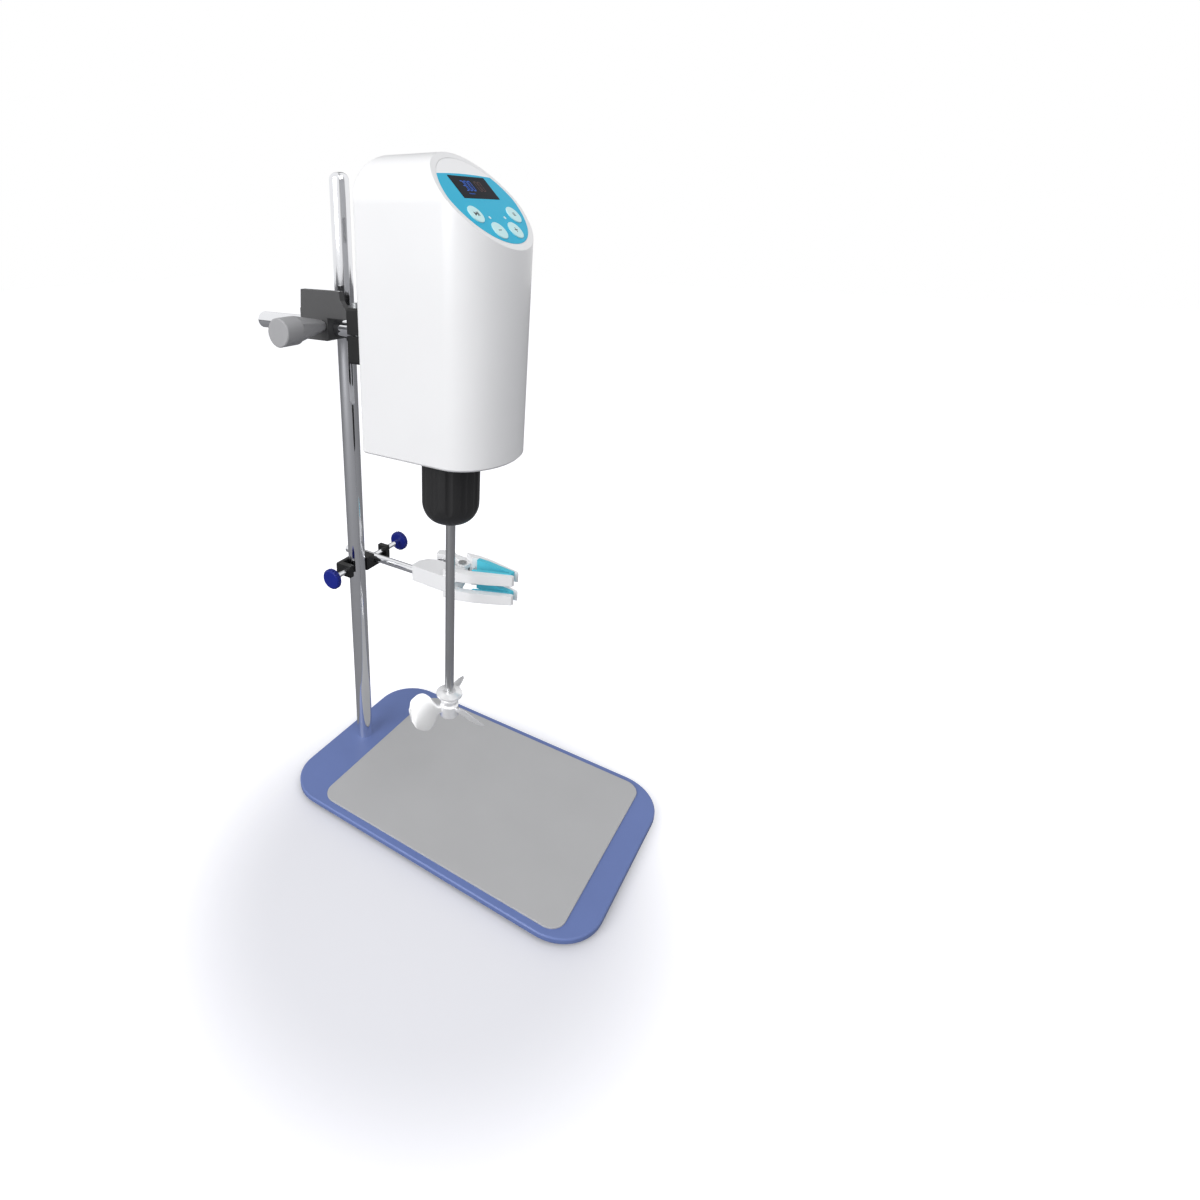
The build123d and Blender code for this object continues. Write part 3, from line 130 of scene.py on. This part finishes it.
paper.links.new(paper.nodes["Principled BSDF"].outputs[0], both.inputs[0])
paper.links.new(lift.outputs[0], both.inputs[1])
paper.links.new(both.outputs[0], paper.nodes["Material Output"].inputs["Surface"])
floor.data.materials.append(floor_paper)


def softbox(name, place, size, power):
    """A square soft lamp that looks at the middle of the stirrer."""
    lamp = bpy.data.lights.new(name, "AREA")
    lamp.shape = "SQUARE"
    lamp.size = size
    lamp.energy = power
    holder = bpy.data.objects.new(name, lamp)
    holder.location = place
    aim = Vector((0, 0, 0.3)) - Vector(place)
    holder.rotation_euler = aim.to_track_quat("-Z", "Y").to_euler()
    scene.collection.objects.link(holder)


softbox("softbox_left", (-2.3, 0.5, 1.2), 1.6, 40)
softbox("softbox_top", (-0.5, -1.4, 2.1), 1.8, 16)

camera = bpy.data.cameras.new("camera")
camera.sensor_width = 36
camera.lens = 20.889
camera.shift_x = 0.13565
camera.shift_y = -0.08415
camera.clip_start = 0.01
tripod = bpy.data.objects.new("camera", camera)
tripod.location = (-0.458313, -0.274998, 0.528431)
tripod.rotation_euler = (radians(90 - 21.733), 0, radians(-55.304))
scene.collection.objects.link(tripod)
scene.camera = tripod


# ---- Base plate ------------------------------------------------------------------------------
# Sheet steel with a blue powder coat.  The coat has a fine orange-peel skin, and a painted
# highlight, a lighter tone, runs along its edges.
def surface(name, colour, roughness, metallic=0.0, coat=0.0, grain=500, stretch=(1, 1, 1), relief=0.00003,
            mottle=0.05, painted_edge_highlight=0.0, round_over=0.0, specular=0.5):
    """A finish whose tone, gloss and relief vary a little over the piece."""
    material = bpy.data.materials.new(name)
    material.use_nodes = True
    tree = material.node_tree
    shader = tree.nodes["Principled BSDF"]
    shader.inputs["Metallic"].default_value = metallic
    shader.inputs["Coat Weight"].default_value = coat
    shader.inputs["Coat Roughness"].default_value = 0.08
    shader.inputs["Specular IOR Level"].default_value = specular
    where = tree.nodes.new("ShaderNodeTexCoord")
    drawn = tree.nodes.new("ShaderNodeMapping")
    drawn.inputs["Scale"].default_value = stretch
    fine = tree.nodes.new("ShaderNodeTexNoise")
    fine.inputs["Scale"].default_value = grain
    fine.inputs["Detail"].default_value = 3
    broad = tree.nodes.new("ShaderNodeTexNoise")
    broad.inputs["Scale"].default_value = 18
    broad.inputs["Detail"].default_value = 4
    tree.links.new(where.outputs["Object"], drawn.inputs["Vector"])
    tree.links.new(drawn.outputs["Vector"], fine.inputs["Vector"])
    tree.links.new(where.outputs["Object"], broad.inputs["Vector"])
    tone = tree.nodes.new("ShaderNodeValToRGB")
    dark, light = tone.color_ramp.elements
    dark.position, light.position = 0.3, 0.7
    dark.color = [c * (1 - mottle) for c in colour[:3]] + [1]
    light.color = [min(1.0, c * (1 + mottle)) for c in colour[:3]] + [1]
    tree.links.new(broad.outputs["Fac"], tone.inputs["Fac"])
    gloss = tree.nodes.new("ShaderNodeMapRange")
    gloss.inputs["To Min"].default_value = roughness * 0.85
    gloss.inputs["To Max"].default_value = min(1.0, roughness * 1.15)
    tree.links.new(fine.outputs["Fac"], gloss.inputs["Value"])
    tree.links.new(gloss.outputs["Result"], shader.inputs["Roughness"])
    skin = tree.nodes.new("ShaderNodeBump")
    skin.inputs["Distance"].default_value = relief
    skin.inputs["Strength"].default_value = 1
    tree.links.new(fine.outputs["Fac"], skin.inputs["Height"])
    tree.links.new(skin.outputs["Normal"], shader.inputs["Normal"])
    last = tone.outputs["Color"]
    if round_over:
        rounded = tree.nodes.new("ShaderNodeBevel")
        rounded.samples = 6
        rounded.inputs["Radius"].default_value = round_over
        tree.links.new(rounded.outputs["Normal"], skin.inputs["Normal"])
        # Edges get a painted highlight: where the rounded normal turns from the flat one, the colour is mixed
        # toward a lighter copy of itself.
        if painted_edge_highlight:
            flat = tree.nodes.new("ShaderNodeNewGeometry")
            match = tree.nodes.new("ShaderNodeVectorMath")
            match.operation = "DOT_PRODUCT"
            tree.links.new(rounded.outputs["Normal"], match.inputs[0])
            tree.links.new(flat.outputs["Normal"], match.inputs[1])
            painted_highlight_mask = tree.nodes.new("ShaderNodeMapRange")
            painted_highlight_mask.inputs["From Min"].default_value = 0.98
            painted_highlight_mask.inputs["From Max"].default_value = 0.72
            painted_highlight_mask.inputs["To Max"].default_value = painted_edge_highlight
            tree.links.new(match.outputs["Value"], painted_highlight_mask.inputs["Value"])
            painted_highlight_mix = tree.nodes.new("ShaderNodeMix")
            painted_highlight_mix.data_type = "RGBA"
            painted_highlight_mix.inputs["B"].default_value = [min(1.0, 1.6 * c + 0.03) for c in colour[:3]] + [1]
            tree.links.new(painted_highlight_mask.outputs["Result"], painted_highlight_mix.inputs["Factor"])
            tree.links.new(last, painted_highlight_mix.inputs["A"])
            last = painted_highlight_mix.outputs["Result"]
    tree.links.new(last, shader.inputs["Base Color"])
    return material


def finish(material, *nodes):
    """Gives pieces of the frame their finish."""
    for node in nodes:
        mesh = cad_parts[node].data
        mesh.materials.clear()
        mesh.materials.append(material)


powder_coat = surface("powder_coat", linear(103, 122, 178), 0.42, grain=900, relief=0.00004, mottle=0.03,
                      painted_edge_highlight=0.5, round_over=0.0008)
finish(powder_coat, "base_plate")

# ---- Mat, feet and the screws under the plate ------------------------------------------------
# A grey rubber mat lies on the plate.  Four black rubber feet are screwed on from below, and a
# countersunk bolt holds the rod.
mat_rubber = surface("mat_rubber", linear(182, 182, 183), 0.62, grain=1600, relief=0.00003, mottle=0.02,
                     painted_edge_highlight=0.4, round_over=0.0006)
finish(mat_rubber, "base_mat")
foot_rubber = surface("foot_rubber", linear(38, 38, 40), 0.75, grain=1200, relief=0.00006, mottle=0.1)
finish(foot_rubber, "base_feet")
zinc = surface("zinc", linear(176, 178, 180), 0.38, metallic=1.0, grain=900, mottle=0.06, relief=0.00001)
finish(zinc, "foot_screws", "rod_bolt")

# ---- Support rod and arm ---------------------------------------------------------------------
# Drawn steel tube with a bright chrome plate, polished along its length.
chrome = surface("chrome", linear(232, 233, 236), 0.07, metallic=1.0, grain=300, stretch=(1, 1, 0.02),
                 mottle=0.03, relief=0.000002)
finish(chrome, "support_rod")
arm_chrome = surface("arm_chrome", linear(232, 233, 236), 0.07, metallic=1.0, grain=300, stretch=(1, 0.02, 1),
                     mottle=0.03, relief=0.000002)
finish(arm_chrome, "arm_rod", "clamp_arm")

# ---- Boss head and its knobs -----------------------------------------------------------------
# A cast block in dark grey paint.  The clamp knobs are turned in one piece with their screws
# and painted a lighter grey.
boss_paint = surface("boss_paint", linear(76, 76, 77), 0.5, grain=1400, relief=0.00005, mottle=0.06,
                     painted_edge_highlight=0.35, round_over=0.0008)
finish(boss_paint, "head_boss")
knob_paint = surface("knob_paint", linear(164, 164, 166), 0.45, grain=1500, relief=0.00003, mottle=0.04,
                     painted_edge_highlight=0.3, round_over=0.0006)
finish(knob_paint, "arm_knob", "rod_knob")

# ---- Rear clamp ------------------------------------------------------------------------------
# Two black cast halves that grip the arm, drawn together by a pair of pinch screws.
bracket_paint = surface("bracket_paint", linear(26, 26, 27), 0.48, grain=1400, relief=0.00005, mottle=0.1,
                        specular=0.3, painted_edge_highlight=0.2, round_over=0.0008)
finish(bracket_paint, "bracket_upper", "bracket_lower")
finish(zinc, "pinch_screws", "backing_plate", "machine_screws", "small_screws")

# ---- Housing ---------------------------------------------------------------------------------
# The motor head's shell is moulded in glossy white plastic.
shell_plastic = surface("shell_plastic", linear(241, 241, 242), 0.3, coat=0.1, grain=260, relief=0.000002,
                        mottle=0.008, round_over=0.0008)
finish(shell_plastic, "housing_shell")

# ---- Control panel ---------------------------------------------------------------------------
# A printed plastic sheet, white above and teal below, is glued into the slanted panel.
panel_x, panel_y, panel_z = -0.020, 0.0135, 0.565
panel_slope = radians(45)
sheet_print = surface("sheet_print", linear(255, 255, 255), 0.4, grain=900, relief=0.000004, mottle=0.0,
                      specular=0.2)
tree = sheet_print.node_tree
where = tree.nodes["Texture Coordinate"]
on_slope = tree.nodes.new("ShaderNodeMapping")
on_slope.inputs["Rotation"].default_value = (radians(135), 0, 0)
on_slope.inputs["Location"].default_value = (-panel_x, (panel_y + panel_z) * sin(panel_slope), 0)
tree.links.new(where.outputs["Object"], on_slope.inputs["Vector"])
split = tree.nodes.new("ShaderNodeSeparateXYZ")
tree.links.new(on_slope.outputs["Vector"], split.inputs["Vector"])
bow = tree.nodes.new("ShaderNodeMath")
bow.operation = "MULTIPLY"
tree.links.new(split.outputs["X"], bow.inputs[0])
tree.links.new(split.outputs["X"], bow.inputs[1])
sag = tree.nodes.new("ShaderNodeMath")
sag.operation = "MULTIPLY_ADD"
sag.inputs[1].default_value = -1.2
tree.links.new(bow.outputs[0], sag.inputs[0])
tree.links.new(split.outputs["Y"], sag.inputs[2])
printed = tree.nodes.new("ShaderNodeMapRange")
printed.inputs["From Min"].default_value = 0.0094
printed.inputs["From Max"].default_value = 0.0096
tree.links.new(sag.outputs[0], printed.inputs["Value"])
inks = tree.nodes.new("ShaderNodeMix")
inks.data_type = "RGBA"
inks.inputs["A"].default_value = linear(253, 253, 254)
inks.inputs["B"].default_value = linear(4, 184, 222)
tree.links.new(printed.outputs["Result"], inks.inputs["Factor"])
tree.links.new(inks.outputs["Result"], tree.nodes["Principled BSDF"].inputs["Base Color"])
finish(sheet_print, "panel_overlay")

screen_glass = surface("screen_glass", linear(22, 25, 34), 0.3, grain=400, relief=0.000002, mottle=0.15,
                       specular=0.02)
finish(screen_glass, "display")
button_plastic = surface("button_plastic", linear(206, 245, 247), 0.4, grain=900, relief=0.000004,
                         mottle=0.015, specular=0.3, round_over=0.0004)
finish(button_plastic, "button_run", "button_down", "button_up", "button_set")
lamp_plastic = surface("lamp_plastic", linear(214, 242, 246), 0.3, coat=0.3, grain=900, mottle=0.03)
finish(lamp_plastic, "panel_lamps")

# ---- Figures on the display ------------------------------------------------------------------
# The display lights blue seven-bar figures on a dark ground, with a row of short level bars under
# them and a second, unlit pair of figures in a dull red on the right.
def flat_bar(length, width, thick, sides=6):
    """A thin print with pointed ends, upright at the origin."""
    bpy.ops.object.select_all(action="DESELECT")
    bpy.ops.mesh.primitive_circle_add(vertices=sides, radius=width / 2, fill_type="NGON")
    piece = bpy.context.object
    bpy.ops.object.mode_set(mode="EDIT")
    bpy.ops.mesh.select_mode(type="VERT")
    for end in (-1, 1):
        bpy.ops.mesh.select_all(action="DESELECT")
        outline = bmesh.from_edit_mesh(piece.data)
        for corner in outline.verts:
            corner.select_set(corner.co.y * end > width / 20)
        bmesh.update_edit_mesh(piece.data)
        bpy.ops.transform.translate(value=(0, end * (length - width) / 2, 0))
    bpy.ops.mesh.select_all(action="SELECT")
    bpy.ops.mesh.extrude_region_move(TRANSFORM_OT_translate={"value": (0, 0, thick)})
    bpy.ops.mesh.select_all(action="SELECT")
    bpy.ops.mesh.normals_make_consistent(inside=False)
    bpy.ops.object.mode_set(mode="OBJECT")
    return piece


def print_on(node, name, parts, material, body):
    """Joins copies of flat prints into one piece on a node's slanted face.  Each part is a print,
    its place across and up the face from the middle, and its turn in degrees."""
    points = [vertex.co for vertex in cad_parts[node].data.vertices]
    out = Vector((0, -sin(panel_slope), cos(panel_slope)))
    up = Vector((0, cos(panel_slope), sin(panel_slope)))
    height = max(point.dot(out) for point in points)
    middle_x = (min(point.x for point in points) + max(point.x for point in points)) / 2
    middle_up = (min(point.dot(up) for point in points) + max(point.dot(up) for point in points)) / 2
    face = Matrix.Translation(Vector((middle_x, 0, 0)) + up * middle_up + out * (height - 0.00001))
    face = face @ Matrix.Rotation(panel_slope, 4, "X")
    copies = []
    for part, across, rise, turn in parts:
        mesh = part.data.copy()
        mesh.transform(face @ Matrix.Translation((across, rise, 0)) @ Matrix.Rotation(radians(turn), 4, "Z"))
        copies.append(bpy.data.objects.new(name, mesh))
        scene.collection.objects.link(copies[-1])
    bpy.ops.object.select_all(action="DESELECT")
    for copy in copies:
        copy.select_set(True)
    bpy.context.view_layer.objects.active = copies[0]
    bpy.ops.object.join()
    piece = bpy.context.object
    piece.name = name
    piece.data.materials.clear()
    piece.data.materials.append(material)
    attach(piece, body)


def figure(lit, across, rise, upright, lying):
    """The lit bars of one figure, as parts for print_on."""
    top, side, middle_of_side = figure_tall / 2, figure_wide / 2, figure_tall / 4
    bars = {"a": (lying, 0, top, 90), "g": (lying, 0, 0, 90), "d": (lying, 0, -top, 90),
            "f": (upright, -side, middle_of_side, 0), "b": (upright, side, middle_of_side, 0),
            "e": (upright, -side, -middle_of_side, 0), "c": (upright, side, -middle_of_side, 0)}
    return [(bars[key][0], across + bars[key][1], rise + bars[key][2], bars[key][3]) for key in lit]


figure_tall, figure_wide = 0.0084, 0.0029
figure_pitch, figure_rise, bar_width, bar_thick = 0.0045, 0.0012, 0.0009, 0.00004
first_lit, first_unlit = -0.0110, 0.0062
first_level, level_pitch, level_rise, level_count = -0.0120, 0.0011, -0.0058, 7
upright_bar = flat_bar(0.0040, bar_width, bar_thick)
lying_bar = flat_bar(0.0027, bar_width, bar_thick)
level_bar = flat_bar(0.0012, 0.0005, bar_thick)
lit_blue = surface("lit_blue", linear(30, 98, 210), 0.4, grain=900, relief=0.000002, mottle=0.08,
                   specular=0.1)
unlit_red = surface("unlit_red", linear(74, 46, 46), 0.4, grain=900, relief=0.000002, mottle=0.08,
                    specular=0.1)
lit_three, lit_nought = "abgcd", "abcdef"
speed = []
for place, lit in enumerate((lit_three, lit_nought, lit_nought)):
    speed += figure(lit, first_lit + place * figure_pitch, figure_rise, upright_bar, lying_bar)
levels = [(level_bar, first_level + level_pitch * count, level_rise, 0) for count in range(level_count)]
print_on("display", "display_figures", speed + levels, lit_blue, "head")
time_left = []
for place in range(2):
    time_left += figure(lit_nought, first_unlit + place * figure_pitch, figure_rise, upright_bar, lying_bar)
print_on("display", "display_dim_figures", time_left, unlit_red, "head")

# ---- Marks on the buttons --------------------------------------------------------------------
# Each button carries a printed mark: a dark start-and-stop on the first, and a minus, a plus and
# a list in thinner lines on the others.
mark_ink = surface("mark_ink", linear(58, 60, 60), 0.5, grain=900, relief=0.000002, mottle=0.08, specular=0.2)
thin_ink = surface("thin_ink", linear(84, 92, 94), 0.5, grain=900, relief=0.000002, mottle=0.08, specular=0.2)
ink_thick = 0.00006
start_mark = flat_bar(0.0042, 0.0042, ink_thick, sides=3)
stop_bar = flat_bar(0.0038, 0.0010, ink_thick)
line_mark = flat_bar(0.0042, 0.0008, ink_thick)
short_line = flat_bar(0.0032, 0.0006, ink_thick)
start_and_stop = [(start_mark, -0.0012, 0, -90), (stop_bar, 0.0012, 0, 0), (stop_bar, 0.0026, 0, 0)]
minus = [(line_mark, 0, 0, 90)]
plus = [(line_mark, 0, 0, 90), (line_mark, 0, 0, 0)]
lines = [(short_line, 0, rise, 90) for rise in (0.0011, 0, -0.0011)]
print_on("button_run", "run_mark", start_and_stop, mark_ink, "button_run")
print_on("button_down", "down_mark", minus, thin_ink, "button_down")
print_on("button_up", "up_mark", plus, thin_ink, "button_up")
print_on("button_set", "set_mark", lines, thin_ink, "button_set")
for pattern in (upright_bar, lying_bar, level_bar, start_mark, stop_bar, line_mark, short_line):
    bpy.data.objects.remove(pattern)

# ---- Board, motor and gears inside the housing -----------------------------------------------
board_lacquer = surface("board_lacquer", linear(24, 92, 58), 0.4, grain=1200, mottle=0.12)
finish(board_lacquer, "control_board")
black_plastic = surface("black_plastic", linear(42, 42, 44), 0.5, grain=1300, relief=0.00004, mottle=0.08,
                        round_over=0.0004)
finish(black_plastic, "button_switches", "power_inlet", "switch_frame", "switch_rocker")
cast_metal = surface("cast_metal", linear(186, 187, 189), 0.45, metallic=1.0, grain=700,
                     relief=0.00005, mottle=0.06)
finish(cast_metal, "gear_frame", "gear_deck")
machined = surface("machined", linear(190, 191, 193), 0.28, metallic=1.0, grain=500, stretch=(1, 1, 0.05),
                   relief=0.000005, mottle=0.04)
finish(machined, "bearings", "spindle", "retaining_ring", "output_gear", "motor_rotor", "impeller_screw",
       "inlet_pins", "jaw_pin")
motor_paint = surface("motor_paint", linear(62, 63, 66), 0.42, grain=900, mottle=0.06)
finish(motor_paint, "motor_can")
brass = surface("brass", linear(208, 176, 108), 0.3, metallic=1.0, grain=600, mottle=0.06)
finish(brass, "motor_pinion")

# ---- Chuck -----------------------------------------------------------------------------------
# A moulded black sleeve with shallow flutes turns on the steel chuck body and draws in its jaws.
sleeve_plastic = surface("sleeve_plastic", linear(38, 38, 39), 0.42, grain=1500, relief=0.00004,
                         mottle=0.08, specular=0.35, round_over=0.0006, painted_edge_highlight=0.15)
finish(sleeve_plastic, "chuck_sleeve")
finish(machined, "chuck_body", "chuck_jaw_1", "chuck_jaw_2", "chuck_jaw_3")

# ---- Stirring shaft and propeller ------------------------------------------------------------
# Ground stainless shaft, and a cast and satin three-blade propeller held by a grub screw.
ground_steel = surface("ground_steel", linear(196, 197, 198), 0.3, metallic=1.0, grain=500,
                       stretch=(1, 1, 0.02), relief=0.000004, mottle=0.03)
finish(ground_steel, "stirring_shaft")
polished_steel = surface("polished_steel", linear(248, 248, 249), 0.22, metallic=0.5, grain=350,
                         relief=0.000004, mottle=0.03)
finish(polished_steel, "impeller")

# ---- Beaker clamp ----------------------------------------------------------------------------
# Black cross clamp with blue disc knobs on bright screws, and a white moulded clamp head with
# teal rubber pads.
clamp_paint = surface("clamp_paint", linear(28, 28, 29), 0.45, grain=1500, relief=0.00005, mottle=0.1,
                      specular=0.35, painted_edge_highlight=0.3, round_over=0.0008)
finish(clamp_paint, "clamp_boss")
disc_plastic = surface("disc_plastic", linear(14, 32, 132), 0.38, grain=1200, relief=0.00002, mottle=0.06,
                       specular=0.3, round_over=0.0006)
finish(disc_plastic, "clamp_rod_knob", "clamp_arm_knob")
finish(arm_chrome, "clamp_rod_screw", "clamp_arm_screw", "spread_screw")
clamp_plastic = surface("clamp_plastic", linear(248, 248, 249), 0.4, grain=1200, relief=0.00001, mottle=0.01,
                        round_over=0.0012)
finish(clamp_plastic, "clamp_body", "clamp_jaw")
pad_rubber = surface("pad_rubber", linear(84, 204, 226), 0.6, grain=1400, relief=0.00005, mottle=0.04)
finish(pad_rubber, "near_jaw_pads", "far_jaw_pads")
